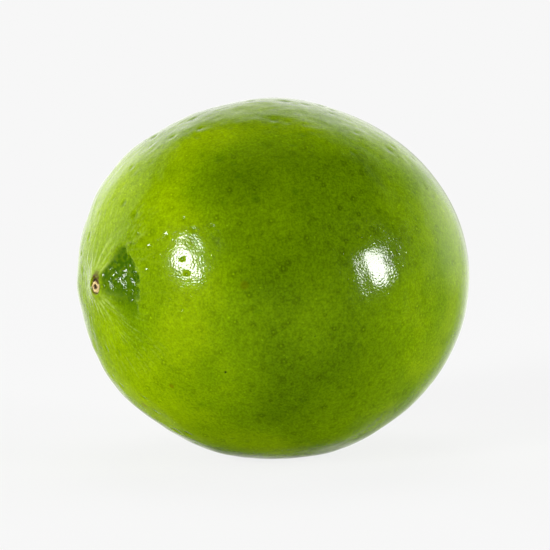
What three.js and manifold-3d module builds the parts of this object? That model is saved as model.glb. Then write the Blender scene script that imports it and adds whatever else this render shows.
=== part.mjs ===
// A whole Persian lime lying on its side, with the dried button left by its stem.
//
// Millimetres, +Z up. The stem axis runs along X: the stem end is at -X and the
// blossom end at +X. The fruit rests on a small flat of its peel at z = 0, and
// the middle of its box stands over the origin.

import * as THREE from "three";
import { mergeVertices } from "three/addons/utils/BufferGeometryUtils.js";
import Module from "manifold-3d";

// Driving dimensions of the fruit.
const EQUATOR_RADIUS = 27.6;
const HALF_LENGTH = 31.0; // centre to either end, without the neck and the tip
const REST_CUT = 0.42; // how far the peel is pressed flat where the fruit lies

// The neck is a low cone that rises round the stem; the tip is the blunt nipple
// at the blossom end.
const NECK_HEIGHT = 1.5;
const NECK_RADIUS = 6.8;
const TIP_HEIGHT = 1.3;
const TIP_RADIUS = 7;
const STEM_LIFT = 0.9; // the stem end grew a little above the middle

// The stem button sits in a shallow pit on top of the neck.
const BUTTON_RADIUS = 1.5;
const BUTTON_HEIGHT = 1.5;
const BUTTON_EDGE = 0.3; // rounding of its outer edge
const BUTTON_HOLLOW = 0.45; // depth of the dimple in its face
const HOLLOW_FLOOR_RADIUS = 0.5;
const HOLLOW_RIM_RADIUS = 0.75;
const BUTTON_PROUD = 0.55; // how far it stands out of the pit
const GAP = 0.3;

const PIT_RADIUS = BUTTON_RADIUS + GAP;
const PIT_DEPTH = BUTTON_HEIGHT - BUTTON_PROUD + GAP;

// Mesh density.
const RINGS = 42;
const SEGMENTS = 64;
const BUTTON_SEGMENTS = 32;
const CORNER_STEPS = 4;
const MERGE_DISTANCE = 1e-3;
const POLE_CROWDING = 0.5; // share by which the rings close up towards both ends

// A fruit never grows quite round. Each swelling bulges (or, below zero, sinks)
// towards a direction from the centre, and fades over its spread in degrees.
const SWELLINGS = [
  { toward: [-0.6, 0.5, 0.63], spread: 13, height: 0.65 },
  { toward: [-0.75, 0.57, 0.34], spread: 14, height: 0.4 },
  { toward: [0.46, -0.21, 0.86], spread: 30, height: -0.55 },
  { toward: [0.2, 0, 0.98], spread: 20, height: 0.2 },
  { toward: [0.22, -0.28, -0.93], spread: 13, height: 0.4 },
  { toward: [-0.68, 0.4, -0.61], spread: 13, height: 0.5 },
  { toward: [0.3, 0.9, 0.3], spread: 32, height: 0.5 },
  { toward: [-0.35, 0.75, -0.55], spread: 26, height: -0.4 },
];

// Height of a drawn-out cone of the given radius, with a hollow flank.
function neckRise(distance) {
  const left = Math.max(0, 1 - distance / NECK_RADIUS);
  return NECK_HEIGHT * left * left;
}

// Height of a blunt knob that runs smoothly into the body.
function tipRise(distance) {
  const left = Math.max(0, 1 - (distance / TIP_RADIUS) ** 2);
  return TIP_HEIGHT * left * left;
}

// A point (distance from the axis, place along the axis) of the round outline, where
// angle runs from 0 at the stem to PI at the blossom end.
function outlinePoint(angle) {
  const distance = EQUATOR_RADIUS * Math.sin(angle);
  const body = -HALF_LENGTH * Math.cos(angle);
  const atStem = angle < Math.PI / 2;
  const end = atStem ? -neckRise(distance) : tipRise(distance);
  return new THREE.Vector2(distance, body + end);
}

// The fruit's outline from the bottom of the stem pit to the blossom end.
function fruitOutline() {
  const rimAngle = Math.asin(PIT_RADIUS / EQUATOR_RADIUS);
  const rim = outlinePoint(rimAngle);
  const points = [
    new THREE.Vector2(0, rim.y + PIT_DEPTH),
    new THREE.Vector2(PIT_RADIUS, rim.y + PIT_DEPTH),
    rim,
  ];
  for (let ring = 1; ring <= RINGS; ring += 1) {
    const even = ring / RINGS;
    const crowding = (POLE_CROWDING * Math.sin(2 * Math.PI * even)) / (2 * Math.PI);
    points.push(outlinePoint(rimAngle + (Math.PI - rimAngle) * (even - crowding)));
  }
  points.at(-1).x = 0;
  return points;
}

// A closed turned body whose axis is X instead of the lathe's Y.
function turned(outline, segments) {
  const geometry = new THREE.LatheGeometry(outline, segments);
  return geometry.rotateZ(-Math.PI / 2);
}

// Moves each vertex by the swellings and by the lift of the stem end.
function growUneven(geometry) {
  const swellings = SWELLINGS.map(({ toward, spread, height }) => ({
    toward: new THREE.Vector3(...toward).normalize(),
    fade: 1 - Math.cos(THREE.MathUtils.degToRad(spread)),
    height,
  }));
  const places = geometry.getAttribute("position");
  const place = new THREE.Vector3();
  for (let i = 0; i < places.count; i += 1) {
    place.fromBufferAttribute(places, i);
    const outward = place.clone().normalize();
    const stemShare = Math.max(0, -place.x / HALF_LENGTH);
    for (const { toward, fade, height } of swellings) {
      const nearness = Math.exp((outward.dot(toward) - 1) / fade);
      place.addScaledVector(outward, height * nearness);
    }
    place.z += STEM_LIFT * stemShare * stemShare;
    places.setXYZ(i, place.x, place.y, place.z);
  }
  return geometry;
}

const wasm = await Module();
wasm.setup();

function solidFrom(geometry) {
  const bare = geometry.clone();
  bare.deleteAttribute("normal");
  bare.deleteAttribute("uv");
  const merged = mergeVertices(bare, MERGE_DISTANCE);
  const mesh = new wasm.Mesh({
    numProp: 3,
    vertProperties: merged.getAttribute("position").array,
    triVerts: new Uint32Array(merged.index.array),
  });
  return new wasm.Manifold(mesh);
}

function geometryFrom(solid) {
  const mesh = solid.getMesh();
  const geometry = new THREE.BufferGeometry();
  geometry.setAttribute("position", new THREE.BufferAttribute(mesh.vertProperties, 3));
  geometry.setIndex(new THREE.BufferAttribute(mesh.triVerts, 1));
  geometry.computeVertexNormals();
  return geometry;
}

// Cuts away everything below REST_CUT above the lowest point, which leaves the flat.
function pressFlat(geometry) {
  geometry.computeBoundingBox();
  const width = 4 * HALF_LENGTH;
  const floor = new THREE.BoxGeometry(width, width, width);
  floor.translate(0, 0, geometry.boundingBox.min.z + REST_CUT - width / 2);
  return geometryFrom(solidFrom(geometry).subtract(solidFrom(floor)));
}

function makeFruit() {
  const grown = growUneven(turned(fruitOutline(), SEGMENTS));
  const peel = new THREE.MeshStandardMaterial({
    color: 0x6f9e0a,
    roughness: 0.32,
    metalness: 0,
  });
  const fruit = new THREE.Mesh(pressFlat(grown), peel);
  fruit.name = "fruit";
  return fruit;
}

// The woody disc that stays on the fruit when its stem breaks off, hollow in the middle.
function makeStemButton() {
  const side = new THREE.Path();
  side.moveTo(0, BUTTON_HOLLOW);
  side.lineTo(HOLLOW_FLOOR_RADIUS, BUTTON_HOLLOW);
  side.lineTo(HOLLOW_RIM_RADIUS, 0);
  side.lineTo(BUTTON_RADIUS - BUTTON_EDGE, 0);
  side.quadraticCurveTo(BUTTON_RADIUS, 0, BUTTON_RADIUS, BUTTON_EDGE);
  side.lineTo(BUTTON_RADIUS, BUTTON_HEIGHT);
  side.lineTo(0, BUTTON_HEIGHT);
  const wood = new THREE.MeshStandardMaterial({
    color: 0x8a6236,
    roughness: 0.8,
    metalness: 0,
  });
  const button = new THREE.Mesh(turned(side.getPoints(CORNER_STEPS), BUTTON_SEGMENTS), wood);
  button.name = "stem_button";
  const rim = outlinePoint(Math.asin(PIT_RADIUS / EQUATOR_RADIUS));
  button.position.set(rim.y - BUTTON_PROUD, 0, STEM_LIFT);
  return button;
}

const lime = new THREE.Group();
lime.add(makeFruit(), makeStemButton());

// Stands the fruit on z = 0 with the middle of its box over the origin.
const box = new THREE.Box3().setFromObject(lime, true);
const middle = box.getCenter(new THREE.Vector3());
for (const piece of lime.children) {
  piece.position.x -= middle.x;
  piece.position.y -= middle.y;
  piece.position.z -= box.min.z;
}

export default lime;
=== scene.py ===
"""A whole Persian lime lying on its side, with the dried button of its stem.

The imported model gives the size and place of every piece. This script grows the
fine peel and the woody button around it, dresses them, and sets up a plain pale
studio. Lengths in the classes are millimetres unless their names say otherwise;
meshes are made in metres. The stem end of the fruit points to -X.
"""

import logging
import math
from dataclasses import dataclass, field
from enum import Enum

import bmesh
import bpy
import numpy as np
from bpy.types import ID, Material, Mesh, Node, NodeTree, Object
from bpy.types import NodeSocket as Socket
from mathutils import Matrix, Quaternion, Vector
from mathutils.kdtree import KDTree


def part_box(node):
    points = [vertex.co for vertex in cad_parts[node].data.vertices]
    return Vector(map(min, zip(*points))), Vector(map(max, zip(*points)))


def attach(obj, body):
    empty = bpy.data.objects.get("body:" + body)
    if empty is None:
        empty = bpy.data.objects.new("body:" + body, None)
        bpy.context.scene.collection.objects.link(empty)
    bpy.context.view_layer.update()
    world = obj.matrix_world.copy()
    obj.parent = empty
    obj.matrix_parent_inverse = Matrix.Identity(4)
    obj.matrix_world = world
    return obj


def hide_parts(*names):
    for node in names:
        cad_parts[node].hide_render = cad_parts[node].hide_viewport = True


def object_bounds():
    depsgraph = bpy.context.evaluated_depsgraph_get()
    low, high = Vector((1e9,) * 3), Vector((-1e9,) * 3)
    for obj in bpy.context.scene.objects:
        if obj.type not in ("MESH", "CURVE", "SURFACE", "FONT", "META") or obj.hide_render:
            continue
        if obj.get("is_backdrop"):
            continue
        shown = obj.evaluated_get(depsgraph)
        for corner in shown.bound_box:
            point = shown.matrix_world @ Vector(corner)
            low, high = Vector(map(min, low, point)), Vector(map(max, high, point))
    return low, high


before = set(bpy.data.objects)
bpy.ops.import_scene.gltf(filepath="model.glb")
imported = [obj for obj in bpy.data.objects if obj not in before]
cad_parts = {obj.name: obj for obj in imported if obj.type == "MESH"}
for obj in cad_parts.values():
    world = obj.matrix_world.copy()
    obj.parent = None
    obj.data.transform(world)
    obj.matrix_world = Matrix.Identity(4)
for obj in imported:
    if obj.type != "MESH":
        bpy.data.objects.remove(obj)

Array = np.ndarray
Colour = tuple[float, float, float, float]
Pair = tuple[float, float]

LOG = logging.getLogger("lime")
MM = 0.001
SEED = 31
FULL_TURN = 2.0 * math.pi
FAR_OFF = 99.0


# ---- small helpers


def smooth_step(low: float | Array, high: float | Array, value: Array) -> Array:
    """A smooth rise from 0 at low to 1 at high, or a fall where high is below low."""
    share = np.clip((value - low) / (high - low), 0.0, 1.0)
    return share * share * (3.0 - 2.0 * share)


def unit(vectors: Array) -> Array:
    """Vectors of length one along the given ones."""
    return vectors / np.linalg.norm(vectors, axis=-1, keepdims=True)


def even_directions(count: int, jitter: float, seed: int) -> Array:
    """Directions spread evenly over a sphere, each nudged a little.

    Args:
        count: how many directions.
        jitter: length of the nudge, as a share of the usual spacing.
        seed: seed of the nudges.

    Returns:
        An array of unit vectors.
    """
    rng = np.random.default_rng(seed)
    number = np.arange(count) + 0.5
    along = 1.0 - 2.0 * number / count
    around = math.pi * (3.0 - math.sqrt(5.0)) * number
    across = np.sqrt(1.0 - along * along)
    directions = np.stack([across * np.cos(around), across * np.sin(around), along], -1)
    spacing = math.sqrt(4.0 * math.pi / count)
    return unit(directions + rng.normal(0.0, jitter * spacing, directions.shape))


def read_points(mesh: Mesh) -> Array:
    """The mesh's vertices as an array, one row each."""
    return np.array([vertex.co[:] for vertex in mesh.vertices])


def face_corners(mesh: Mesh, points: Array) -> Array:
    """The points at the corners of each face, on a mesh that has only squares."""
    return points[np.array([face.vertices[:] for face in mesh.polygons])]


def write_attribute(mesh: Mesh, name: str, values: Array, domain: str = "POINT") -> None:
    """Stores a named attribute for a material to read.

    Args:
        mesh: the mesh that gets it.
        name: its name.
        values: one number or vector for each element.
        domain: POINT or CORNER.
    """
    kind, key = ("FLOAT_VECTOR", "vector") if values.ndim > 1 else ("FLOAT", "value")
    attribute = mesh.attributes.new(name, kind, domain)
    attribute.data.foreach_set(key, values.astype(np.float32).ravel())


def put(data: ID) -> Object:
    """Puts a mesh, lamp or camera into the scene.

    Args:
        data: what to show.

    Returns:
        Its object, which bears the same name.
    """
    thing = bpy.data.objects.new(data.name, data)
    bpy.context.scene.collection.objects.link(thing)
    return thing


def finished(mesh: Mesh, points: Array, material: Material) -> Object:
    """Brings a piece into its final form.

    Args:
        mesh: its mesh.
        points: where its vertices go, in millimetres.
        material: what it wears.

    Returns:
        Its object, in place and with smooth faces.
    """
    mesh.vertices.foreach_set("co", (points * MM).astype(np.float32).ravel())
    mesh.update()
    mesh.polygons.foreach_set("use_smooth", [True] * len(mesh.polygons))
    mesh.materials.append(material)
    return put(mesh)


# ---- shape of the fruit


@dataclass(frozen=True)
class Lobe:
    """Something strongest in one direction that fades smoothly all round it."""

    toward: tuple[float, float, float]
    spread_degrees: float
    strength: float

    def at(self, outward: Array) -> Array:
        """Its strength in each outward direction."""
        fade = 1.0 - math.cos(math.radians(self.spread_degrees))
        return self.strength * np.exp((outward @ unit(np.array(self.toward)) - 1.0) / fade)


@dataclass(frozen=True)
class Ripples:
    """Soft waves of one length range that run over a whole surface."""

    shortest: float
    longest: float
    height: float
    count: int
    seed: int

    def rise(self, points: Array) -> Array:
        """How far the waves lift each point.

        Args:
            points: places in millimetres.

        Returns:
            The lift of each, with height as its usual size.
        """
        rng = np.random.default_rng(self.seed)
        total = np.zeros(len(points))
        for _ in range(self.count):
            heading = unit(rng.normal(size=3))
            length = rng.uniform(self.shortest, self.longest)
            start = rng.uniform(0.0, FULL_TURN)
            total += np.cos(points @ heading * (FULL_TURN / length) + start)
        return total * self.height * math.sqrt(2.0 / self.count)


@dataclass(frozen=True)
class LimeShape:
    """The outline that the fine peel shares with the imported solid."""

    equator_radius: float = 27.6
    half_length: float = 31.0
    neck_height: float = 1.5
    neck_radius: float = 6.8
    tip_height: float = 1.3
    tip_radius: float = 7.0
    stem_lift: float = 0.9
    swellings: tuple[Lobe, ...] = (
        Lobe((-0.6, 0.5, 0.63), 13.0, 0.65),
        Lobe((-0.75, 0.57, 0.34), 14.0, 0.4),
        Lobe((0.46, -0.21, 0.86), 30.0, -0.55),
        Lobe((0.2, 0.0, 0.98), 20.0, 0.2),
        Lobe((0.22, -0.28, -0.93), 13.0, 0.4),
        Lobe((-0.68, 0.4, -0.61), 13.0, 0.5),
        Lobe((0.3, 0.9, 0.3), 32.0, 0.5),
        Lobe((-0.35, 0.75, -0.55), 26.0, -0.4),
    )

    def middle(self) -> Array:
        """Finds the middle of the stem axis.

        Returns:
            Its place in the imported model.
        """
        _, fruit_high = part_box("fruit")
        button_low, button_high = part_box("stem_button")
        button = (button_low + button_high) / (2.0 * MM)
        reach = self.half_length + self.tip_height
        return np.array([fruit_high.x / MM - reach, button.y, button.z - self.stem_lift])

    def surface(self, outward: Array) -> Array:
        """The smooth skin, before any fine relief.

        Args:
            outward: unit vectors from the middle of the stem axis.

        Returns:
            A point of the skin for each, measured from that middle.
        """
        radii = np.array([self.half_length, self.equator_radius, self.equator_radius])
        points = outward * radii
        off_axis = np.hypot(points[:, 1], points[:, 2])
        neck = self.neck_height * np.clip(1.0 - off_axis / self.neck_radius, 0.0, 1.0) ** 2
        tip_share = np.clip(1.0 - (off_axis / self.tip_radius) ** 2, 0.0, 1.0)
        tip = self.tip_height * tip_share**2
        points[:, 0] += np.where(points[:, 0] < 0.0, -neck, tip)
        stem_share = np.clip(-points[:, 0] / self.half_length, 0.0, None)
        away = unit(points)
        for swelling in self.swellings:
            points += away * swelling.at(away)[:, None]
        points[:, 2] += self.stem_lift * stem_share**2
        return points


class PoreSort(Enum):
    """The two sorts of small hollow in the peel."""

    GLAND = "gland"
    PIT = "pit"


@dataclass
class Pores:
    """Small round hollows scattered over the skin."""

    sort: PoreSort
    centres: Array
    radii: Array
    depths: Array
    # For glands, how dark their own colour is; for pits, how much painted shade they get and
    # how deep the bump sinks.
    tints: Array
    tree: KDTree = field(init=False)

    def __post_init__(self) -> None:
        """Files the centres so that the nearest is found fast."""
        self.tree = KDTree(len(self.centres))
        for index, centre in enumerate(self.centres):
            self.tree.insert(centre, index)
        self.tree.balance()

    def nearest(self, points: Array) -> Array:
        """The index of the hollow nearest to each point."""
        return np.array([self.tree.find(point)[1] for point in points])

    def drop(self, points: Array) -> Array:
        """Sinks the skin at the hollows.

        Args:
            points: places on the skin.

        Returns:
            How far each sinks into the hollow nearest to it.
        """
        index = self.nearest(points)
        gap = np.linalg.norm(points - self.centres[index], axis=1) / self.radii[index]
        return self.depths[index] * np.clip(1.0 - gap**2, 0.0, 1.0) ** 2

    def mark(self, mesh: Mesh, points: Array) -> None:
        """Stores, at each face corner, the way from its hollow's middle in radii.

        All corners of a face use the same hollow, so the pattern stays sharp however
        large the faces are.

        Args:
            mesh: the mesh that gets the attribute.
            points: its vertices in the same frame as the centres.
        """
        corners = face_corners(mesh, points)
        index = self.nearest(corners.mean(axis=1))
        offset = corners - self.centres[index][:, None, :]
        name = self.sort.value
        write_attribute(mesh, name, offset / self.radii[index][:, None, None], "CORNER")
        write_attribute(mesh, f"{name}_tint", np.repeat(self.tints[index], 4), "CORNER")


@dataclass
class StemNeck:
    """The peel round the stem: folds that run out from it and a hollow side, whose darker green
    is partly its own and partly painted shade.

    It works on points of the smooth skin, measured from the middle of the stem axis.
    Headings are degrees round the stem: 0 is up, and -90 is -Y. In the hollow, a side
    is a heading from its middle, in half widths, and is positive above it.
    """

    points: Array
    stem_lift: float
    off_axis: Array = field(init=False)
    heading: Array = field(init=False)
    fold_count: int = 64
    fold_height: float = 0.06
    fold_jitter: float = 0.35
    fold_widths: Pair = (0.1, 0.26)
    fold_lengths: Pair = (0.25, 1.0)
    fold_strengths: Pair = (0.1, 1.0)
    fold_curls: Pair = (0.0, 5.6)
    fold_start: float = 1.3
    fold_crest: float = 2.8
    fold_end: float = 15.0
    highest_crest: float = 1.2
    hollow_fold_loss: float = 0.7
    hollow_heading: float = -80.0
    hollow_half_width: float = 46.0
    hollow_reach: float = 7.9
    hollow_lower_reach: float = 0.8
    hollow_depth: float = 0.95
    hollow_start: float = 1.2
    hollow_top: Pair = (1.15, 0.9)
    hollow_foot: Pair = (-1.3, -0.4)
    high_side: Pair = (-1.3, 0.1)
    wall: Pair = (1.2, 0.6)
    floor_run: float = 6.0
    deepest: float = 1.2
    low_side_painted_shade: float = 0.4
    edge_wander: float = 4.0
    rough_side: float = 0.15
    rough_width: float = 0.42
    brink_inset: float = 0.5
    brink_width: float = 0.6
    scarp_width: float = 1.1
    scar_heading: float = -8.0
    streak_waves: int = 26
    streak_height: float = 0.008
    streak_counts: tuple[int, int] = (12, 40)
    streak_start: Pair = (4.0, 9.0)
    streak_end: Pair = (27.0, 14.0)
    streak_upright: Pair = (0.35, 0.8)
    side_streaks: float = 0.1
    fibre_counts: tuple[int, int] = (35, 100)
    fibre_end: Pair = (16.0, 9.0)
    fibre_pale_and_sheen: float = 0.2
    gaps: Ripples = Ripples(2.5, 5.0, 1.0, 24, SEED + 21)
    lumps: Ripples = Ripples(0.8, 1.7, 0.052, 30, SEED + 20)
    seed: int = 7

    def __post_init__(self) -> None:
        """Works out how each point lies round the stem, the blossom half far off it."""
        across, up = self.points[:, 1], self.points[:, 2] - self.stem_lift
        self.off_axis = np.where(self.points[:, 0] < 0.0, np.hypot(across, up), FAR_OFF)
        self.heading = np.degrees(np.arctan2(across, up))

    def turn_from(self, heading: float | Array) -> Array:
        """Degrees from a heading to each point's, -180 to 180."""
        return (self.heading - heading + 180.0) % 360.0 - 180.0

    def folds(self) -> Array:
        """Lays the folds, which lie closest and longest above and below the stem.

        Returns:
            A share for each point from 0, plain peel, to about 1, a crest.
        """
        rng = np.random.default_rng(self.seed)
        crest = np.zeros(len(self.points))
        step = 360.0 / self.fold_count
        for number in range(self.fold_count):
            start = (number + rng.uniform(-self.fold_jitter, self.fold_jitter)) * step
            upright = math.cos(math.radians(start))
            width = rng.uniform(*self.fold_widths)
            length = rng.uniform(*self.fold_lengths) * (0.7 + 0.3 * upright)
            reach = self.fold_crest + (self.fold_end - self.fold_crest) * length
            strength = rng.uniform(*self.fold_strengths) * (0.3 + 0.7 * abs(upright))
            curl = rng.uniform(*self.fold_curls) * upright
            turn = self.turn_from(start - curl * (self.off_axis - self.fold_start))
            aside = np.radians(turn) * self.off_axis / width
            fade = smooth_step(reach, self.fold_crest, self.off_axis)
            crest += strength * fade * np.exp(-(aside**2))
        begin = smooth_step(self.fold_start, self.fold_crest, self.off_axis)
        plain = 1.0 - self.hollow_fold_loss * self.hollow()[0]
        return np.minimum(crest, self.highest_crest) * begin * plain

    def hollow(self) -> tuple[Array, Array, Array]:
        """The hollow on one side of the neck, which ends in a low scarp; its darkness is partly
        its own green and partly painted shade.

        Returns:
            How dark each point is in it, how deep it lies and how rough it is there,
            all from 0 to about 1.
        """
        side = self.turn_from(self.hollow_heading) / self.hollow_half_width
        wander = 0.2 * np.sin(7.0 * side + 0.6) + 0.14 * np.sin(16.0 * side)
        wander += self.edge_wander * self.lumps.rise(self.points)
        slant = np.clip(side, -2.0, 2.0) * np.clip(np.abs(side), 0.0, 2.0)
        edge = self.hollow_reach - self.hollow_lower_reach * slant + wander
        scarp = self.scarp_width / 2.0
        share = smooth_step(*self.hollow_top, side) * smooth_step(*self.hollow_foot, side)
        share *= smooth_step(edge + scarp, edge - scarp, self.off_axis)
        share *= smooth_step(self.hollow_start, 2.0 * self.hollow_start, self.off_axis)
        high = smooth_step(*self.high_side, side)
        run = (self.off_axis - self.hollow_start) / self.floor_run
        depth = share * smooth_step(*self.wall, side) * high * np.clip(run, 0.0, self.deepest)
        crossing = np.exp(-(((side - self.rough_side) / self.rough_width) ** 2))
        inside = edge - self.brink_inset - self.off_axis
        brink = np.exp(-((inside / self.brink_width) ** 2))
        brink *= side < self.rough_side
        # Darker on the high side: partly the peel's own green and partly painted shade.
        shade = share * (self.low_side_painted_shade + (1.0 - self.low_side_painted_shade) * high)
        return shade, depth, share * np.maximum(crossing, brink)

    def streaks(self, counts: tuple[int, int]) -> Array:
        """Fine wrinkles that run out from the stem, above and below it.

        Args:
            counts: the smallest and the largest number of wrinkles round the stem.

        Returns:
            About -2 to 2 where they are strong, and 0 far from the stem.
        """
        rng = np.random.default_rng(self.seed + 1)
        around = np.radians(self.heading + 5.0 * np.sin(0.4 * self.off_axis))
        total = np.zeros(len(self.points))
        for _ in range(self.streak_waves):
            total += np.cos(rng.integers(*counts) * around + rng.uniform(0.0, 6.28))
        fade = smooth_step(*self.streak_start, self.off_axis)
        fade *= smooth_step(*self.streak_end, self.off_axis)
        upright = np.abs(np.cos(np.radians(self.heading)))
        most = 1.0 - self.side_streaks
        fade *= self.side_streaks + most * smooth_step(*self.streak_upright, upright)
        return total * fade * math.sqrt(2.0 / self.streak_waves)

    def fibres(self) -> Array:
        """How pale each point is from short fine fibres that run out from the stem, a paleness
        that is partly painted sheen.
        """
        short = np.clip(self.streaks(self.fibre_counts) * self.gaps.rise(self.points), 0.0, 1.5)
        return self.fibre_pale_and_sheen * smooth_step(*self.fibre_end, self.off_axis) * short

    def scar(self) -> Array:
        """How brown the peel is round the button, most above it."""
        upright = np.clip(np.cos(np.radians(self.heading - self.scar_heading)), 0.0, 1.0) ** 6
        return smooth_step(1.45 + 1.2 * upright, 1.1 + 0.6 * upright, self.off_axis)


# ---- materials


class NodeKit:
    """Places and links the nodes of one material, world or group."""

    def __init__(self, tree: NodeTree) -> None:
        """Starts on an empty tree."""
        self.tree = tree
        tree.nodes.clear()

    def node(
        self, kind: str, inputs: dict[str | int, object] | None = None, **settings: object
    ) -> Node:
        """Adds a node.

        Args:
            kind: its type.
            inputs: the socket or plain value that feeds each of its inputs.
            settings: its properties.

        Returns:
            The new node.
        """
        node = self.tree.nodes.new(kind)
        for name, value in settings.items():
            setattr(node, name, value)
        for name, value in (inputs or {}).items():
            if isinstance(value, Socket):
                self.tree.links.new(value, node.inputs[name])
            else:
                node.inputs[name].default_value = value
        return node

    def maths(self, operation: str, *values: object) -> Socket:
        """What a Math node makes of sockets or numbers."""
        inputs = dict(enumerate(values))
        return self.node("ShaderNodeMath", inputs, operation=operation).outputs[0]

    def times(self, first: object, second: object) -> Socket:
        """The product of two sockets or numbers."""
        return self.maths("MULTIPLY", first, second)

    def line(self, value: object, slope: object, start: object) -> Socket:
        """The value times a slope, with a start added."""
        return self.maths("MULTIPLY_ADD", value, slope, start)

    def vector(self, operation: str, *values: object) -> Socket:
        """The number that a Vector Math node makes of vectors."""
        inputs = dict(enumerate(values))
        return self.node("ShaderNodeVectorMath", inputs, operation=operation).outputs["Value"]

    def spread(
        self, value: Socket, low: float, high: float, start: float = 0.0, end: float = 1.0
    ) -> Socket:
        """A smooth rise or fall.

        Args:
            value: what it follows.
            low: the value at which it starts; it may be above high.
            high: the value at which it ends.
            start: what it gives at low and before.
            end: what it gives at high and beyond.

        Returns:
            The result's socket.
        """
        inputs = dict(enumerate((value, low, high, start, end)))
        node = self.node("ShaderNodeMapRange", inputs, interpolation_type="SMOOTHSTEP")
        return node.outputs[0]

    def blend(self, share: Socket, first: object, second: object) -> Socket:
        """A colour between two colours."""
        inputs = {"Factor": share, "A": first, "B": second}
        return self.node("ShaderNodeMix", inputs, data_type="RGBA").outputs["Result"]

    def scaled(self, colour: Socket, factor: Socket) -> Socket:
        """The colour made brighter or darker by a factor."""
        inputs = {0: colour, "Scale": factor}
        return self.node("ShaderNodeVectorMath", inputs, operation="SCALE").outputs[0]

    def ramp(self, value: Socket, *colours: Colour) -> Socket:
        """Runs through three colours as value goes from -1 to 1.

        Args:
            value: tells how far along it is.
            colours: the colours at the start, in the middle and at the end.

        Returns:
            The colour's socket.
        """
        share = self.line(value, 0.5, 0.5)
        node = self.node("ShaderNodeValToRGB", {"Fac": share})
        node.color_ramp.elements.new(0.5)
        for stop, colour in zip(node.color_ramp.elements, colours):
            stop.color = colour
        return node.outputs["Color"]

    def cells(self, place: Socket, size: float) -> Socket:
        """Distance from the middle of cells about size millimetres wide, in sizes."""
        inputs = {"Scale": 1.0 / (size * MM), "Vector": place}
        return self.node("ShaderNodeTexVoronoi", inputs).outputs["Distance"]

    def noise(self, place: Socket, scale: object, detail: float) -> Socket:
        """Noise with scale lumps a metre, over place."""
        inputs = {"Scale": scale, "Detail": detail, "Vector": place}
        return self.node("ShaderNodeTexNoise", inputs).outputs["Fac"]

    def mask(self, name: str) -> Socket:
        """The piece's own attribute of that name, as a number."""
        return self.node("ShaderNodeAttribute", attribute_name=name).outputs["Fac"]

    def place(self) -> Socket:
        """The piece's own coordinates, in metres."""
        return self.node("ShaderNodeTexCoord").outputs["Object"]

    def uneven(self, mottle: NodeTree, size: float) -> tuple[Socket, ...]:
        """The group's broad and fine mottle, with broad lumps size millimetres apart."""
        inputs = {"Place": self.place(), "Size": size * MM}
        return tuple(self.node("ShaderNodeGroup", inputs, node_tree=mottle).outputs)

    def bump(self, height: Socket, distance: float) -> Socket:
        """The normal of a relief whose height of 1 is distance millimetres."""
        inputs = {"Strength": 1.0, "Distance": distance * MM, "Height": height}
        return self.node("ShaderNodeBump", inputs).outputs["Normal"]

    def surface(self, shader: Socket) -> None:
        """Makes the shader what the material shows."""
        self.node("ShaderNodeOutputMaterial", {"Surface": shader})


def new_material(name: str) -> tuple[Material, NodeKit]:
    """Starts a material.

    Args:
        name: its name.
    """
    material = bpy.data.materials.new(name)
    material.use_nodes = True
    return material, NodeKit(material.node_tree)


@dataclass(frozen=True)
class MottleGroup:
    """Uneven colour of two sizes, which the peel and the wood both wear."""

    finer: float = 16.0
    broad_detail: float = 3.0
    fine_detail: float = 4.0

    def build(self) -> NodeTree:
        """Makes the group.

        Returns:
            A group whose outputs swing around 0.5.
        """
        group = bpy.data.node_groups.new("mottle", "ShaderNodeTree")
        for name, side, kind in (
            ("Place", "INPUT", "Vector"),
            ("Size", "INPUT", "Float"),
            ("Broad", "OUTPUT", "Float"),
            ("Fine", "OUTPUT", "Float"),
        ):
            group.interface.new_socket(name=name, in_out=side, socket_type=f"NodeSocket{kind}")
        kit = NodeKit(group)
        given = kit.node("NodeGroupInput").outputs
        place, scale = given["Place"], kit.maths("DIVIDE", 1.0, given["Size"])
        broad = kit.noise(place, scale, self.broad_detail)
        fine = kit.noise(place, kit.times(scale, self.finer), self.fine_detail)
        kit.node("NodeGroupOutput", {"Broad": broad, "Fine": fine})
        return group


@dataclass(frozen=True)
class Freckle:
    """A small dark or brown mark on the peel."""

    toward: tuple[float, float, float]
    radius: float
    colour: Colour
    strength: float = 0.9

    def lay(self, kit: NodeKit, ground: Socket, shape: LimeShape) -> Socket:
        """Lays the mark on the peel.

        Args:
            kit: the material's nodes.
            ground: the colour under it.
            shape: tells where the skin is.

        Returns:
            The colour's socket.
        """
        centre = shape.surface(unit(np.array([self.toward])))[0] + shape.middle()
        gap = kit.vector("DISTANCE", kit.place(), centre * MM)
        far, near = self.radius * MM, 0.5 * self.radius * MM
        return kit.blend(kit.spread(gap, far, near, 0.0, self.strength), ground, self.colour)


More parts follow.
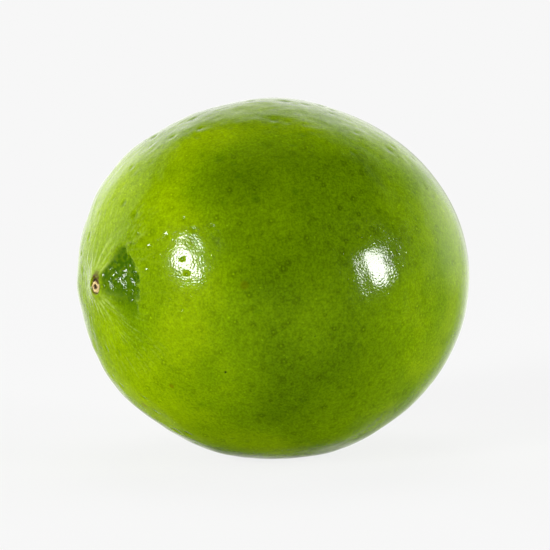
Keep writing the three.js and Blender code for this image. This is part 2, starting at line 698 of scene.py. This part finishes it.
@dataclass(frozen=True)
class PeelFinish:
    """Waxy green peel with oil glands, pits, folds at the neck and a few marks, with painted
    shade, light and sheen.
    """

    deep_green: Colour = (0.066, 0.125, 0.0, 1.0)
    leaf_green: Colour = (0.120, 0.210, 0.0, 1.0)
    pale_green: Colour = (0.255, 0.375, 0.0, 1.0)
    painted_shade_green: Colour = (0.018, 0.070, 0.0, 1.0)
    fold_green_and_sheen: Colour = (0.36, 0.47, 0.09, 1.0)
    scar_brown: Colour = (0.07, 0.035, 0.010, 1.0)
    roughness: float = 0.12
    ior: float = 1.45
    mottle_size: float = 9.0
    mottle_swing: float = 1.6
    mottle_shades: Pair = (0.93, 1.07)
    grain_shades: Pair = (0.89, 1.12)
    contrast: float = 1.3
    contrast_fall: float = 0.2
    gland_shade: float = 0.24
    gland_tone_shade: float = 0.12
    gland_light: float = 0.45
    gland_height: float = 0.006
    pit_painted_shade: float = 0.35
    pit_height: float = 0.045
    dot_size: float = 0.36
    dot_height: float = 0.008
    pin_size: float = 0.95
    pin_height: float = 0.012
    speck_glint_light: float = 0.6
    grain_size: float = 0.3
    grain_height: float = 0.009
    patch: Pair = (0.35, 0.6)
    hollow_painted_shade: float = 0.88
    hollow_grain: float = 2.8
    freckles: tuple[Freckle, ...] = (
        Freckle((-0.67, -0.627, -0.397), 0.22, (0.01, 0.02, 0.004, 1.0)),
        Freckle((-0.353, -0.915, -0.195), 0.20, (0.01, 0.02, 0.004, 1.0)),
        Freckle((-0.798, -0.333, -0.503), 0.5, (0.13, 0.10, 0.0, 1.0), 0.6),
        Freckle((-0.758, 0.009, -0.652), 0.7, (0.20, 0.17, 0.02, 1.0), 0.5),
        Freckle((-0.646, -0.761, 0.064), 0.8, (0.09, 0.09, 0.0, 1.0), 0.45),
        Freckle((1.0, 0.0, 0.0), 1.3, (0.12, 0.10, 0.02, 1.0), 0.75),
    )

    def material(self, mottle: NodeTree, shape: LimeShape) -> Material:
        """Builds the material.

        Args:
            mottle: the group for uneven colour.
            shape: tells where the marks on the skin lie.

        Returns:
            The finished material.
        """
        material, kit = new_material("lime_peel")
        layers = PeelLayers(self, kit, mottle)
        colour = layers.neck(layers.pores(layers.ground()))
        for freckle in self.freckles:
            colour = freckle.lay(kit, colour, shape)
        inputs = {
            "Base Color": colour,
            "Roughness": self.roughness,
            "IOR": self.ior,
            "Normal": kit.bump(layers.height(), 1.0),
        }
        kit.surface(kit.node("ShaderNodeBsdfPrincipled", inputs).outputs["BSDF"])
        return material


class PeelLayers:
    """The layers of the peel's colour and relief, over the masks that they share."""

    def __init__(self, finish: PeelFinish, kit: NodeKit, mottle: NodeTree) -> None:
        """Makes the shared masks.

        Args:
            finish: the peel's colours and sizes.
            kit: the material's nodes.
            mottle: the group for uneven colour.
        """
        self.finish, self.kit = finish, kit
        place = kit.place()
        self.broad, self.fine = kit.uneven(mottle, finish.mottle_size)
        self.grain = kit.noise(place, 1.0 / (finish.grain_size * MM), 1.0)
        self.dots = kit.cells(place, finish.dot_size)
        self.pins = kit.spread(kit.cells(place, finish.pin_size), 0.2, 0.05)
        self.tone_and_painted_shading = kit.mask("tone_and_painted_shading")
        self.gland, self.pit = (self.reach(sort.value) for sort in PoreSort)
        self.gland_tint, self.pit_depth_and_shade = (kit.mask(f"{sort.value}_tint") for sort in PoreSort)

    def reach(self, name: str) -> Socket:
        """How far each place is from its hollow's middle, in the hollow's radii."""
        way = self.kit.node("ShaderNodeAttribute", attribute_name=name).outputs["Vector"]
        return self.kit.vector("LENGTH", way)

    def ground(self) -> Socket:
        """The green under the glands: broad tones that are partly painted shade and light, soft
        mottle, fine grain, and light specks that are partly painted glints.

        Returns:
            The colour's socket.
        """
        kit, finish = self.kit, self.finish
        swing = finish.mottle_swing
        # The tone carries painted shade and light as well as the peel's own broad changes of
        # green.
        tone_and_painted_shading = kit.line(self.broad, swing, -swing / 2.0)
        tone_and_painted_shading = kit.maths("ADD", self.tone_and_painted_shading, tone_and_painted_shading)
        green = kit.ramp(tone_and_painted_shading, finish.deep_green, finish.leaf_green, finish.pale_green)
        fine = kit.spread(self.fine, 0.3, 0.7, *finish.mottle_shades)
        speckle = kit.spread(self.grain, 0.3, 0.7, *finish.grain_shades)
        swerve = kit.maths("SUBTRACT", kit.times(fine, speckle), 1.0)
        contrast = kit.line(tone_and_painted_shading, -finish.contrast_fall, finish.contrast)
        factor = kit.line(swerve, contrast, 1.0)
        # Light specks at the pin pricks: partly pale dots of the peel and partly painted
        # glints.
        speck_and_glint = kit.times(self.pins, kit.spread(self.fine, 0.4, 0.7))
        return kit.scaled(green, kit.line(speck_and_glint, finish.speck_glint_light, factor))

    def pores(self, ground: Socket) -> Socket:
        """Darker glands, some with a light eye, and pits darkened with painted shade.

        Args:
            ground: the green to lay them on.

        Returns:
            The colour's socket.
        """
        kit, finish = self.kit, self.finish
        blot = kit.times(kit.spread(self.gland, 1.0, 0.35), self.gland_tint)
        shade = kit.maths(
            "MULTIPLY_ADD", self.tone_and_painted_shading, finish.gland_tone_shade, -finish.gland_shade
        )
        factor = kit.line(blot, shade, 1.0)
        strong = kit.spread(self.gland_tint, 0.55, 0.9)
        eye = kit.times(kit.spread(self.gland, 0.30, 0.12), strong)
        factor = kit.line(eye, finish.gland_light, factor)
        # Painted shade in the pits: their floors are blended towards a dark green.
        shaded_pit_floor = kit.times(kit.spread(self.pit, 0.9, 0.2), self.pit_depth_and_shade)
        shaded_pit_floor = kit.times(shaded_pit_floor, finish.pit_painted_shade)
        return kit.blend(shaded_pit_floor, kit.scaled(ground, factor), finish.painted_shade_green)

    def neck(self, ground: Socket) -> Socket:
        """Pale folds that are partly painted sheen, the hollow darkened partly with painted
        shade, and the brown scar at the stem.

        Args:
            ground: the green to lay them on.

        Returns:
            The colour's socket.
        """
        kit, finish = self.kit, self.finish
        broken = kit.spread(self.fine, *finish.patch, 0.25, 0.75)
        patchy = kit.spread(self.fine, *finish.patch, 0.6, 1.0)
        # The hollow's dark green is partly its own colour and partly painted shade.
        hollow = kit.times(kit.mask("hollow"), patchy)
        hollow = kit.times(hollow, finish.hollow_painted_shade)
        # Fold crests and fibres are paler: partly the peel's own paler ridges and partly
        # painted sheen.
        colour = kit.blend(kit.times(kit.mask("crest"), broken), ground, finish.fold_green_and_sheen)
        colour = kit.blend(hollow, colour, finish.painted_shade_green)
        return kit.blend(kit.times(kit.mask("scar"), patchy), colour, finish.scar_brown)

    def height(self) -> Socket:
        """The finest relief: grain, dots and pin pricks, and the floors of the pores.

        Returns:
            Its height's socket, in millimetres.
        """
        kit, finish = self.kit, self.finish
        fine = kit.spread(self.dots, 0.0, 0.7, 0.0, finish.dot_height)
        fine = kit.line(self.grain, finish.grain_height, fine)
        fine = kit.line(self.pins, -finish.pin_height, fine)
        rough = kit.line(kit.mask("rough"), finish.hollow_grain, 1.0)
        height = kit.times(fine, rough)
        dimple = kit.spread(self.gland, 0.9, 0.1, 0.0, -finish.gland_height)
        height = kit.line(dimple, self.gland_tint, height)
        deep = kit.spread(self.pit, 0.8, 0.0, 0.0, -finish.pit_height)
        return kit.line(deep, self.pit_depth_and_shade, height)


@dataclass(frozen=True)
class StemWoodFinish:
    """Dry wood of the broken stem: tan on the ring, near black in hollow and bark."""

    tan: Colour = (0.66, 0.50, 0.22, 1.0)
    brown: Colour = (0.16, 0.06, 0.012, 1.0)
    bark: Colour = (0.028, 0.016, 0.006, 1.0)
    roughness: float = 0.7
    mottle_size: float = 1.3
    mottle_swing: float = 0.9
    grain_height: float = 0.15

    def material(self, mottle: NodeTree) -> Material:
        """Builds the material.

        Args:
            mottle: the group for uneven colour.

        Returns:
            The finished material.
        """
        material, kit = new_material("stem_wood")
        broad, fine = kit.uneven(mottle, self.mottle_size)
        patchy = kit.line(fine, self.mottle_swing, -self.mottle_swing / 2.0)
        patchy = kit.maths("ADD", kit.mask("ring"), patchy)
        skin = kit.blend(kit.spread(broad, 0.4, 0.7), self.bark, self.brown)
        inputs = {
            "Base Color": kit.blend(kit.spread(patchy, 0.2, 0.75), skin, self.tan),
            "Roughness": self.roughness,
            "Normal": kit.bump(fine, self.grain_height),
        }
        kit.surface(kit.node("ShaderNodeBsdfPrincipled", inputs).outputs["BSDF"])
        return material


# ---- pieces


@dataclass
class Fruit:
    """The whole fruit, as one closed skin of fine faces."""

    shape: LimeShape = field(default_factory=LimeShape)
    finish: PeelFinish = field(default_factory=PeelFinish)
    cuts: int = 127
    map_margin: float = 0.96
    stem_crowding: float = 0.42
    gland_spacing: float = 1.75
    gland_radius: float = 0.72
    gland_depth: float = 0.006
    gland_jitter: float = 0.34
    gland_widths: Pair = (0.55, 1.25)
    gland_depths: Pair = (0.2, 1.5)
    faint_glands: float = 1.7
    pit_count: int = 460
    pit_radius: float = 0.62
    pit_depth: float = 0.13
    pit_jitter: float = 0.42
    pit_widths: Pair = (0.8, 1.3)
    faint_pits: float = 1.2
    plain_pitting: float = 0.06
    stem_pitting: float = 0.75
    top_pitting: float = 0.85
    pitted_stem: Pair = (6.0, -22.0)
    pitted_top: Pair = (8.0, 25.0)
    coarse_top: Pair = (12.0, 24.0)
    wider_top: float = 0.4
    deeper_top: float = 0.2
    marked_size: float = 0.85
    marked_clearance: float = 2.5
    # The fourth number of each marked pit sets how much painted shade it gets and how deep its
    # floor sinks in the bump.
    marked_pits: tuple[tuple[float, float, float, float], ...] = (
        (-0.837, -0.517, 0.179, 1.0),
        (-0.832, -0.545, 0.105, 1.0),
        (-0.924, -0.249, 0.29, 0.5),
        (-0.945, -0.221, 0.241, 0.5),
        (-0.911, -0.339, 0.235, 0.3),
        (-0.93, -0.349, 0.117, 0.5),
        (-0.86, -0.415, 0.297, 0.1),
        (-0.8, -0.462, 0.382, 0.5),
    )
    press_softness: float = 0.1
    seat_radius: float = 1.3
    seat_depth: float = 1.2
    ripples: tuple[Ripples, ...] = (
        Ripples(14.0, 24.0, 0.10, 14, SEED + 1),
        Ripples(6.0, 9.0, 0.04, 20, SEED + 2),
        Ripples(2.0, 4.2, 0.010, 40, SEED + 3),
    )
    top_ripples: Ripples = Ripples(1.4, 3.0, 0.012, 40, SEED + 11)
    top_start: Pair = (8.0, 22.0)
    blossom_calm: float = 0.7
    blossom_start: Pair = (4.0, 14.0)
    plain_start: Pair = (3.0, 9.0)
    neck_lumps: float = 0.25
    base_tone_and_painted_shading: float = 0.3
    # Broad darker and lighter green: partly the peel's own uneven colour and partly painted
    # shade and light, darkest on the side that faces the camera.
    tones_and_painted_shading: tuple[Lobe, ...] = (
        Lobe((-0.26, -0.88, 0.4), 20.0, -1.55),
        Lobe((-0.37, -0.84, -0.39), 20.0, -1.3),
        Lobe((-0.6, -0.55, 0.58), 10.0, -0.95),
        Lobe((-0.58, -0.81, 0.09), 10.0, -0.95),
        Lobe((-0.03, -0.78, 0.62), 10.0, -0.95),
        Lobe((-0.75, 0.28, -0.6), 20.0, 1.3),
        Lobe((-0.87, -0.46, -0.16), 10.0, 0.6),
        Lobe((-0.83, 0.22, 0.51), 20.0, 0.75),
        Lobe((-0.48, -0.62, -0.62), 10.0, -0.9),
        Lobe((-0.2, -0.27, -0.94), 14.0, 0.7),
        Lobe((-0.36, -0.63, 0.69), 10.0, -0.75),
        Lobe((0.0, -1.0, -0.02), 20.0, -0.45),
        Lobe((-0.97, -0.22, -0.07), 10.0, -0.55),
        Lobe((-0.7, -0.67, 0.26), 10.0, -0.45),
        Lobe((0.1, -0.81, -0.58), 14.0, -0.35),
        Lobe((0.11, -0.96, 0.26), 10.0, -0.55),
        Lobe((0.6, 0.75, 0.1), 35.0, -1.1),
    )

    def build(self, mottle: NodeTree) -> Object:
        """Makes and dresses the fruit.

        Args:
            mottle: the group for uneven colour.

        Returns:
            The fruit's object, in place.
        """
        mesh, cube = self.even_skin()
        outward = self.crowd(unit(np.tan(cube * (math.pi / 4.0))))
        smooth = self.shape.surface(outward)
        neck = StemNeck(smooth, self.shape.stem_lift)
        self.tint(mesh, neck)
        pores = [self.glands(), self.pits()]
        for sort in pores:
            sort.mark(mesh, smooth)
        points = self.relief(neck, pores) + self.shape.middle()
        points[:, 2] = self.pressed(points[:, 2])
        return finished(mesh, points, self.finish.material(mottle, self.shape))

    def tint(self, mesh: Mesh, neck: StemNeck) -> None:
        """Stores the broad tone with its painted shade and light, the folds, the hollow and the
        scar for the finish to read.

        Args:
            mesh: the mesh that gets the attributes.
            neck: the peel round the stem, with the smooth skin's points.
        """
        shade, _, rough = neck.hollow()
        outward = unit(neck.points)
        for name, values in (
            ("tone_and_painted_shading", self.base_tone_and_painted_shading + sum(lobe.at(outward) for lobe in self.tones_and_painted_shading)),
            ("crest", neck.folds() + neck.fibres()),
            ("hollow", shade),
            ("rough", rough),
            ("scar", neck.scar()),
        ):
            write_attribute(mesh, name, values)

    def even_skin(self) -> tuple[Mesh, Array]:
        """A cube cut into even squares, with its faces laid out for the bake.

        Returns:
            The mesh, and its vertices' places on the cube.
        """
        skin = bmesh.new()
        bmesh.ops.create_cube(skin, size=2.0)
        bmesh.ops.subdivide_edges(skin, edges=skin.edges[:], cuts=self.cuts, use_grid_fill=True)
        mesh = bpy.data.meshes.new("lime_fruit")
        skin.to_mesh(mesh)
        skin.free()
        cube = read_points(mesh)
        self.lay_out(mesh, cube)
        return mesh, cube

    def lay_out(self, mesh: Mesh, cube: Array) -> None:
        """Gives each side of the cube its own square of the bake's map.

        Args:
            mesh: the cut cube.
            cube: its vertices.
        """
        corners = face_corners(mesh, cube)
        middle = corners.mean(axis=1)
        axis = np.abs(middle).argmax(axis=1)
        positive = np.take_along_axis(middle, axis[:, None], axis=1)[:, 0] > 0.0
        flat = np.empty((len(corners), 4, 2))
        for side in range(3):
            chosen = axis == side
            kept = [other for other in range(3) if other != side]
            flat[chosen] = corners[chosen][:, :, kept]
        flat[positive == (axis == 1), :, 0] *= -1.0
        square = np.stack([axis, positive], -1)[:, None, :]
        flat = (0.5 + 0.5 * self.map_margin * flat + square) / 3.0
        layer = mesh.uv_layers.new(name="OFBake")
        layer.uv.foreach_set("vector", flat.astype(np.float32).ravel())

    def crowd(self, outward: Array) -> Array:
        """Draws the vertices together towards the stem, where the detail is.

        Args:
            outward: unit vectors.

        Returns:
            The same vectors, turned towards the stem.
        """
        angle = np.arccos(np.clip(-outward[:, 0], -1.0, 1.0))
        moved = angle - self.stem_crowding * np.sin(angle)
        across = np.maximum(np.sin(angle), 1e-9)
        result = outward * (np.sin(moved) / across)[:, None]
        result[:, 0] = -np.cos(moved)
        return unit(result)

    def glands(self) -> Pores:
        """Scatters the oil glands.

        Returns:
            Faint dimples, each with its own depth of colour.
        """
        rng = np.random.default_rng(SEED)
        area = 4.0 * math.pi * self.shape.equator_radius * self.shape.half_length
        count = int(area / self.gland_spacing**2)
        centres = self.shape.surface(even_directions(count, self.gland_jitter, SEED + 4))
        radii = self.gland_radius * rng.uniform(*self.gland_widths, count)
        depths = self.gland_depth * rng.uniform(*self.gland_depths, count)
        tints = rng.uniform(0.0, 1.0, count) ** self.faint_glands
        return Pores(PoreSort.GLAND, centres, radii, depths, tints)

    def pits(self) -> Pores:
        """Scatters the coarse pits, and sets the marked ones.

        Returns:
            Pits that are most and deepest towards the stem and the top.
        """
        rng = np.random.default_rng(SEED + 5)
        directions = even_directions(self.pit_count, self.pit_jitter, SEED + 6)
        centres = self.shape.surface(directions)
        near_stem = smooth_step(*self.pitted_stem, centres[:, 0])
        near_top = smooth_step(*self.pitted_top, centres[:, 2])
        pitting = self.stem_pitting * near_stem + self.top_pitting * near_top
        strength = np.clip(self.plain_pitting + pitting, 0.0, 1.0)
        strength *= rng.uniform(0.0, 1.0, self.pit_count) ** self.faint_pits
        radii = self.pit_radius * (0.8 + 0.7 * strength)
        radii *= rng.uniform(*self.pit_widths, self.pit_count)
        chosen = np.array(self.marked_pits)
        marked = self.shape.surface(unit(chosen[:, :3]))
        apart = np.linalg.norm(centres[:, None] - marked[None], axis=2).min(axis=1)
        kept = apart > self.marked_clearance * self.pit_radius
        ones = np.ones(len(marked))
        centres, tints, strength, radii = (
            np.concatenate([scattered[kept], added])
            for scattered, added in (
                (centres, marked),
                (strength, chosen[:, 3]),
                (strength, ones),
                (radii, self.marked_size * self.pit_radius * ones),
            )
        )
        top = smooth_step(*self.coarse_top, centres[:, 2])
        radii *= 1.0 + self.wider_top * top
        depths = self.pit_depth * strength * (1.0 + self.deeper_top * top)
        return Pores(PoreSort.PIT, centres, radii, depths, tints)

    def relief(self, neck: StemNeck, pores: list[Pores]) -> Array:
        """The skin with its ripples, hollows, folds and the seat of the button.

        Args:
            neck: the peel round the stem, with the smooth skin's points.
            pores: the glands and the pits.

        Returns:
            The points moved, each along its way out from the middle.
        """
        smooth, off_axis = neck.points, neck.off_axis
        lift = sum(ripple.rise(smooth) for ripple in self.ripples)
        lift *= 1.0 - self.blossom_calm * smooth_step(*self.blossom_start, smooth[:, 0])
        lift += self.top_ripples.rise(smooth) * smooth_step(*self.top_start, smooth[:, 2])
        plain = smooth_step(*self.plain_start, off_axis)
        lift -= sum(sort.drop(smooth) for sort in pores) * plain
        _, depth, rough = neck.hollow()
        lift += neck.fold_height * neck.folds() - neck.hollow_depth * depth
        lift += neck.streak_height * neck.streaks(neck.streak_counts)
        rough += self.neck_lumps * smooth_step(12.0, 5.0, off_axis)
        lift += neck.lumps.rise(smooth) * rough
        lift *= smooth_step(self.seat_radius, 2.0 * self.seat_radius, off_axis)
        points = smooth + unit(smooth) * lift[:, None]
        seat = smooth_step(self.seat_radius, self.seat_radius - 0.4, off_axis)
        points[:, 0] += self.seat_depth * seat
        return points

    def pressed(self, heights: Array) -> Array:
        """Heights above the resting plane, pressed softly flat onto it."""
        return self.press_softness * np.logaddexp(0.0, heights / self.press_softness)


@dataclass
class StemButton:
    """The dried end of the stem: a tan ring with a hollow, and a tongue of dark bark."""

    finish: StemWoodFinish = field(default_factory=StemWoodFinish)
    spin_steps: int = 84
    ring_steps: int = 13
    ring_degrees: Pair = (-50.0, 180.0)
    ring_middle: float = 0.60
    ring_thickness: float = 0.30
    hole_depth: float = 0.8
    sink: float = 0.55
    tilt: float = 0.1
    bark_radius: float = 1.2
    bark_heading: float = -6.0
    bark_stretch: float = 4.0
    bark_slope: float = 0.33
    bark_lift: float = 0.2
    bark_rise: float = 0.2
    hump_length: float = 0.9
    rough: float = 0.10
    shift_fade: float = 0.35
    ring_reach: float = 1.25
    hole_reach: float = 0.55
    ragged_lobes: tuple[int, ...] = (2, 3, 5, 7, 11)
    ripples: Ripples = Ripples(0.35, 0.8, 0.045, 12, SEED + 10)
    ring_shift: Pair = (0.16, -0.25)
    hole_shift: Pair = (0.20, 0.15)

    def build(self, mottle: NodeTree) -> Object:
        """Makes and dresses the button in its seat on top of the neck.

        Args:
            mottle: the group for uneven colour.

        Returns:
            The button's object, in place.
        """
        low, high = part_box("stem_button")
        centre = (low + high) / (2.0 * MM)
        mesh = self.turned((high.x - low.x) / MM)
        points = read_points(mesh)
        off_axis = np.hypot(points[:, 1], points[:, 2])
        rim = np.abs(off_axis - self.ring_middle) / self.ring_thickness
        write_attribute(mesh, "ring", np.clip(1.35 - 1.1 * rim, 0.0, 1.0))
        points = self.weathered(points)
        points[:, 0] += self.sink - self.tilt * points[:, 1]
        points += np.array([low.x / MM, centre.y, centre.z])
        return finished(mesh, points, self.finish.material(mottle))

    def turned(self, depth: float) -> Mesh:
        """Turns the button's section round the stem axis.

        Args:
            depth: from its front to its back.

        Returns:
            A closed mesh whose front lies at 0 on the axis.
        """
        disc = bmesh.new()
        verts = [disc.verts.new((x, 0.0, radius)) for x, radius in self.section(depth)]
        edges = [disc.edges.new(pair) for pair in zip(verts, verts[1:])]
        bmesh.ops.spin(
            disc,
            geom=verts + edges,
            axis=(1.0, 0.0, 0.0),
            cent=(0.0, 0.0, 0.0),
            angle=FULL_TURN,
            steps=self.spin_steps,
            use_merge=True,
            use_duplicate=False,
        )
        bmesh.ops.remove_doubles(disc, verts=disc.verts, dist=1e-4)
        bmesh.ops.recalc_face_normals(disc, faces=disc.faces)
        mesh = bpy.data.meshes.new("lime_stem_button")
        disc.to_mesh(mesh)
        disc.free()
        return mesh

    def section(self, depth: float) -> list[tuple[float, float]]:
        """Half of the button's section, from the hollow's floor to its back.

        Args:
            depth: from its front to its back.

        Returns:
            Points as (place along the axis, distance from it).
        """
        floor = [(self.hole_depth, 0.0), (self.hole_depth - 0.05, 0.16)]
        tube, bark = self.ring_thickness, self.bark_radius
        turns = np.radians(np.linspace(*self.ring_degrees, self.ring_steps + 1))
        ring = [
            (tube - tube * math.sin(turn), self.ring_middle - tube * math.cos(turn))
            for turn in turns
        ]
        lip = [(0.42, bark - 0.2), (0.36, bark - 0.13), (0.40, bark - 0.05), (0.55, bark)]
        return floor + ring + lip + [(0.9, bark - 0.05), (depth, bark - 0.15), (depth, 0.0)]

    def weathered(self, points: Array) -> Array:
        """Makes the turned shape ragged and draws its bark out into a tongue.

        Args:
            points: vertices measured from the middle of the front.

        Returns:
            The moved points.
        """
        rng = np.random.default_rng(SEED + 9)
        heading = np.arctan2(points[:, 1], points[:, 2])
        off_axis = np.hypot(points[:, 1], points[:, 2])
        wave = np.zeros(len(points))
        for lobes in self.ragged_lobes:
            wave += np.cos(lobes * heading + rng.uniform(0.0, 6.28)) / math.sqrt(lobes)
        bark_start = self.ring_middle + self.ring_thickness
        beyond = np.clip(off_axis - bark_start, 0.0, None)
        upper = np.clip(np.cos(heading - math.radians(self.bark_heading)), 0.0, 1.0) ** 3.0
        grown = off_axis + beyond * upper * self.bark_stretch
        grown *= 1.0 + self.rough * wave * smooth_step(0.1, 0.5, off_axis)
        points[:, 1:] *= (grown / np.maximum(off_axis, 1e-6))[:, None]
        front = smooth_step(1.0, 0.5, points[:, 0])
        points[:, 0] += front * self.ripples.rise(points)
        slope = np.clip(grown - bark_start, 0.0, None)
        along = np.clip(slope / self.hump_length, 0.0, 1.0)
        rise = self.bark_rise * np.sin(along * math.pi)
        rise += self.bark_lift * smooth_step(0.0, 0.12, slope)
        points[:, 0] += upper * (self.bark_slope * slope - rise) * front
        for shift, reach in (
            (self.ring_shift, self.ring_reach),
            (self.hole_shift, self.hole_reach),
        ):
            share = smooth_step(reach, reach - self.shift_fade, off_axis)
            points[:, 1:] += share[:, None] * np.array(shift)
        return points


# ---- studio


@dataclass(frozen=True)
class View:
    """A way of looking: azimuth 0 looks along +Y and 90 along -X."""

    azimuth: float
    elevation: float

    def back(self) -> Vector:
        """Works out the direction from the object to the eye.

        Returns:
            A vector of length one.
        """
        turn, rise = math.radians(self.azimuth), math.radians(self.elevation)
        level = math.cos(rise)
        return Vector((math.sin(turn) * level, -math.cos(turn) * level, math.sin(rise)))


class LampShape(Enum):
    """The outline of a soft lamp."""

    RECTANGLE = "RECTANGLE"
    ELLIPSE = "ELLIPSE"


@dataclass(frozen=True)
class Softbox:
    """A soft lamp that faces the fruit; without gloss it lights but is not mirrored."""

    name: str
    view: View
    width: float
    height: float
    radiance: float
    shape: LampShape = LampShape.RECTANGLE
    roll_degrees: float = 0.0
    gloss: bool = True
    distance: float = 6000.0

    def place(self, target: Vector) -> None:
        """Hangs the lamp.

        Args:
            target: the middle of what it lights.
        """
        light = bpy.data.lights.new(self.name, "AREA")
        light.shape = self.shape.value
        light.size = self.width * MM
        light.size_y = self.height * MM
        fullness = math.pi / 4.0 if self.shape is LampShape.ELLIPSE else 1.0
        light.energy = self.radiance * math.pi * fullness * light.size * light.size_y
        lamp = put(light)
        away = self.view.back()
        lamp.location = target + away * self.distance * MM
        roll = Quaternion((0.0, 0.0, 1.0), math.radians(self.roll_degrees))
        lamp.rotation_euler = (away.to_track_quat("Z", "Y") @ roll).to_euler()
        lamp.visible_camera = False
        lamp.visible_glossy = self.gloss


@dataclass(frozen=True)
class Glow:
    """A round patch where the surround shines more or less, full inside, none outside."""

    view: View
    inner_degrees: float
    outer_degrees: float
    radiance: float

    def strength(self, kit: NodeKit, place: Socket) -> Socket:
        """How much light it adds.

        Args:
            kit: the world's nodes.
            place: the direction that light comes from.

        Returns:
            The amount's socket.
        """
        facing = kit.vector("DOT_PRODUCT", place, self.view.back())
        outer = math.cos(math.radians(self.outer_degrees))
        inner = math.cos(math.radians(self.inner_degrees))
        return kit.spread(facing, outer, inner, 0.0, self.radiance)


@dataclass(frozen=True)
class Studio:
    """A pale floor, soft lamps, a white surround behind, and the camera."""

    camera_view: View = View(-35.0, 6.0)
    lens: float = 135.0
    sensor_width: float = 36.0
    camera_distance: float = 316.8
    aim_aside: float = -0.01
    aim_up: float = 0.37
    pale: float = 0.93
    glows: tuple[Glow, ...] = (
        Glow(View(144.0, 10.0), 2.0, 46.0, 1.0),
        Glow(View(123.0, -8.0), 28.0, 72.0, 0.36),
        Glow(View(135.0, 1.0), 3.0, 9.0, -0.65),
        Glow(View(95.0, 9.0), 3.0, 20.0, 0.52),
        Glow(View(88.0, -22.0), 10.0, 28.0, -0.2),
        Glow(View(198.0, 14.0), 20.0, 38.0, 0.38),
    )
    gloom: float = 0.01
    lowest_glow: float = -0.93
    floor_radius: float = 4000.0
    floor_albedo: float = 0.97
    floor_near: float = 0.88
    floor_reach: Pair = (40.0, 450.0)
    softboxes: tuple[Softbox, ...] = (
        Softbox("left_softbox", View(-76.2, 16.0), 860.0, 2150.0, 41.0, roll_degrees=28.0),
        Softbox("right_softbox", View(34.0, 4.4), 1000.0, 1200.0, 6.0, LampShape.ELLIPSE),
        Softbox("right_surround", View(33.4, 9.8), 1850.0, 1950.0, 26.0, LampShape.ELLIPSE),
        Softbox("left_fill", View(-78.0, 15.0), 1900.0, 2600.0, 9.6, gloss=False),
        Softbox("right_fill", View(32.0, 9.0), 1900.0, 2000.0, 3.2, gloss=False),
        Softbox("behind_left", View(-140.0, 10.0), 3000.0, 3000.0, 9.0, gloss=False),
        Softbox("behind_right", View(75.0, 10.0), 3000.0, 3000.0, 9.5, gloss=False),
        Softbox("overhead", View(145.0, 75.0), 3000.0, 3000.0, 3.0, gloss=False),
    )

    def build(self, low: Vector, high: Vector) -> None:
        """Sets up everything around the object.

        Args:
            low: the object's lowest corner.
            high: its highest corner.
        """
        middle = (low + high) / 2.0
        for softbox in self.softboxes:
            softbox.place(middle)
        self.surround()
        self.floor()
        self.camera(middle)
        bpy.context.scene.view_settings.view_transform = "Standard"

    def surround(self) -> None:
        """The light from all round: white behind the fruit, dark on the eye's side."""
        world = bpy.data.worlds.new("studio")
        world.use_nodes = True
        bpy.context.scene.world = world
        kit = NodeKit(world.node_tree)
        place = kit.node("ShaderNodeTexCoord").outputs["Generated"]
        height = kit.node("ShaderNodeSeparateXYZ", {0: place}).outputs["Z"]
        total = self.gloom
        for glow in self.glows:
            total = kit.maths("ADD", total, glow.strength(kit, place))
        lit = kit.times(total, kit.spread(height, self.lowest_glow, 0.0))
        seen = kit.node("ShaderNodeLightPath").outputs["Is Camera Ray"]
        inputs = {"Factor": seen, "A": lit, "B": self.pale}
        strength = kit.node("ShaderNodeMix", inputs, data_type="FLOAT").outputs["Result"]
        inputs = {"Color": (1.0, 1.0, 1.0, 1.0), "Strength": strength}
        light = kit.node("ShaderNodeBackground", inputs).outputs["Background"]
        kit.node("ShaderNodeOutputWorld", {"Surface": light})

    def floor(self) -> None:
        """A wide pale floor that looks even to the eye and is not mirrored."""
        disc = bmesh.new()
        bmesh.ops.create_circle(disc, cap_ends=True, segments=96, radius=self.floor_radius * MM)
        mesh = bpy.data.meshes.new("floor")
        disc.to_mesh(mesh)
        disc.free()
        floor = put(mesh)
        floor.visible_glossy = False
        material, kit = new_material("pale_floor")
        matt = kit.node("ShaderNodeBsdfDiffuse", {"Color": (*[self.floor_albedo] * 3, 1.0)})
        glow = kit.node("ShaderNodeEmission", {"Strength": self.pale})
        near, far = self.floor_reach
        gap = kit.vector("LENGTH", kit.place())
        even = kit.spread(gap, near * MM, far * MM, self.floor_near, 1.0)
        seen = kit.node("ShaderNodeLightPath").outputs["Is Camera Ray"]
        share = kit.times(seen, even)
        inputs = {0: share, 1: matt.outputs["BSDF"], 2: glow.outputs["Emission"]}
        kit.surface(kit.node("ShaderNodeMixShader", inputs).outputs["Shader"])
        mesh.materials.append(material)
        floor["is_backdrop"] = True

    def camera(self, middle: Vector) -> None:
        """Sets up the camera, with a long lens a little above the fruit's middle.

        Args:
            middle: the middle of the object.
        """
        camera = bpy.data.cameras.new("camera")
        camera.lens = self.lens
        camera.sensor_width = self.sensor_width
        camera.clip_start = 0.01
        camera.clip_end = 30.0
        eye = put(camera)
        away = self.camera_view.back()
        turn = away.to_track_quat("Z", "Y")
        aim = middle + turn @ Vector((self.aim_aside, self.aim_up, 0.0)) * MM
        eye.location = aim + away * self.camera_distance * MM
        eye.rotation_euler = turn.to_euler()
        bpy.context.scene.camera = eye


# ---- main


def main() -> None:
    """Builds the fruit, the button and the studio."""
    cad_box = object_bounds()
    mottle = MottleGroup().build()
    fruit = Fruit().build(mottle)
    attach(fruit, "root")
    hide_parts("fruit")
    LOG.info("%s: %d faces", fruit.name, len(fruit.data.polygons))
    button = StemButton().build(mottle)
    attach(button, "root")
    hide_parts("stem_button")
    LOG.info("%s: %d faces", button.name, len(button.data.polygons))
    Studio().build(*cad_box)


if __name__ == "__main__":
    logging.basicConfig(level=logging.INFO, format="%(name)s: %(message)s")
    main()
